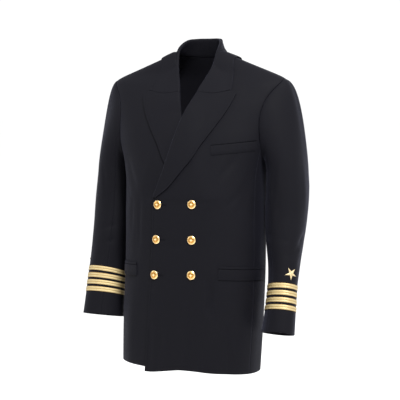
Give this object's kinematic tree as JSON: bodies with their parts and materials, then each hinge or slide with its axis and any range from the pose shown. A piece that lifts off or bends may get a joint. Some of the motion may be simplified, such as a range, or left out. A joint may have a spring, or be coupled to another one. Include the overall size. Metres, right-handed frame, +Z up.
{
  "type": "naval uniform jacket",
  "caption": "Dark double-breasted naval uniform jacket in its worn hollow form, with peaked lapels, cuff braid, a sleeve star and domed gilt buttons.",
  "frame": {"origin": "middle of the neck opening at the height of the neck points, where the wearer's shoulders hold the jacket up", "axes": "+X towards the wearer's left, -Y out of the front, +Z up"},
  "size_m": [0.5768, 0.2606, 0.8226],
  "materials": {
    "navy_cloth": "fine smooth worsted twill, nearly black navy",
    "gold_braid": "woven gold lace with a soft metallic sheen",
    "gilt_metal": "bright gilt, softly polished"
  },
  "bodies": {
    "root": {"front_left": "navy_cloth", "front_right": "navy_cloth", "back_left": "navy_cloth", "back_right": "navy_cloth", "side_left": "navy_cloth", "side_right": "navy_cloth", "lapel_left": "navy_cloth", "lapel_right": "navy_cloth", "collar": "navy_cloth", "sleeve_left_top": "navy_cloth", "sleeve_left_under": "navy_cloth", "stripe_left_1": "gold_braid", "stripe_left_2": "gold_braid", "stripe_left_3": "gold_braid", "stripe_left_4": "gold_braid", "star_left": "gold_braid", "sleeve_right_top": "navy_cloth", "sleeve_right_under": "navy_cloth", "stripe_right_1": "gold_braid", "stripe_right_2": "gold_braid", "stripe_right_3": "gold_braid", "stripe_right_4": "gold_braid", "star_right": "gold_braid", "breast_welt": "navy_cloth", "hip_jet_left": "navy_cloth", "hip_flap_left": "navy_cloth", "hip_jet_right": "navy_cloth", "hip_flap_right": "navy_cloth", "button_1_outer": "gilt_metal", "button_1_inner": "gilt_metal", "button_2_outer": "gilt_metal", "button_2_inner": "gilt_metal", "button_3_outer": "gilt_metal", "button_3_inner": "gilt_metal"}
  },
  "joints": []
}
